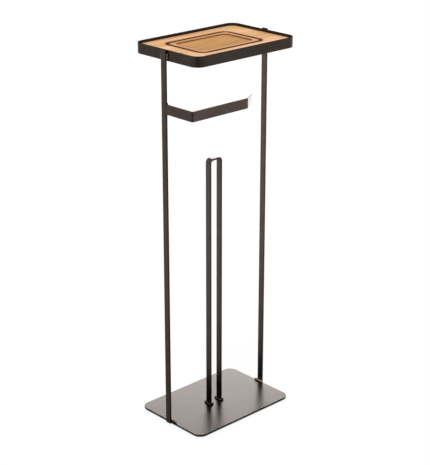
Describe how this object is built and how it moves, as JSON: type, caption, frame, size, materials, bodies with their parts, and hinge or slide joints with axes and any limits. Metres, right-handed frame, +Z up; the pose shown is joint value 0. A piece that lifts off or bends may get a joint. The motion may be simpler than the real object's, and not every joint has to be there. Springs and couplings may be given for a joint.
{
  "type": "freestanding toilet paper holder",
  "caption": "Floor-standing holder: flat steel frame on a base plate, bent roll arm, arched post for spare rolls, and a rimmed tray on top with a lift-out wooden board.",
  "frame": {"origin": "on the floor, under the middle of the tray and of the base plate", "axes": "+Z up, +X along the tray's long side away from the roll arm's end, +Y towards the back; the roll arm's bar faces -Y"},
  "size_m": [0.2586, 0.176, 0.7535],
  "materials": {
    "powder_coated_steel": "satin dark brown powder coat",
    "bamboo": "matt oiled bamboo, fine straight grain",
    "black_rubber": "matt"
  },
  "bodies": {
    "frame": {"base_plate": "powder_coated_steel", "left_upright": "powder_coated_steel", "right_upright": "powder_coated_steel", "spare_roll_post": "powder_coated_steel", "roll_arm": "powder_coated_steel", "tray_rim": "powder_coated_steel", "tray_sheet": "powder_coated_steel", "pad_front_left": "black_rubber", "pad_front_right": "black_rubber", "pad_back_left": "black_rubber", "pad_back_right": "black_rubber", "left_foot_weld": "powder_coated_steel", "right_foot_weld": "powder_coated_steel", "post_left_weld": "powder_coated_steel", "post_right_weld": "powder_coated_steel", "left_rim_weld_front": "powder_coated_steel", "left_rim_weld_back": "powder_coated_steel", "right_rim_weld_front": "powder_coated_steel", "right_rim_weld_back": "powder_coated_steel", "arm_weld": "powder_coated_steel", "sheet_weld_left": "powder_coated_steel", "sheet_weld_right": "powder_coated_steel", "sheet_weld_front_left": "powder_coated_steel", "sheet_weld_front_right": "powder_coated_steel", "sheet_weld_back_left": "powder_coated_steel", "sheet_weld_back_right": "powder_coated_steel"},
    "board": {"wood_board": "bamboo"},
    "insert": {"wood_insert": "bamboo"}
  },
  "joints": [
    {"name": "board_lift", "type": "slide", "parent": "frame", "child": "board", "axis": [0, 0, 1], "range_m": [0, 0.05]},
    {"name": "insert_lift", "type": "slide", "parent": "board", "child": "insert", "axis": [0, 0, 1], "range_m": [0, 0.03]}
  ]
}
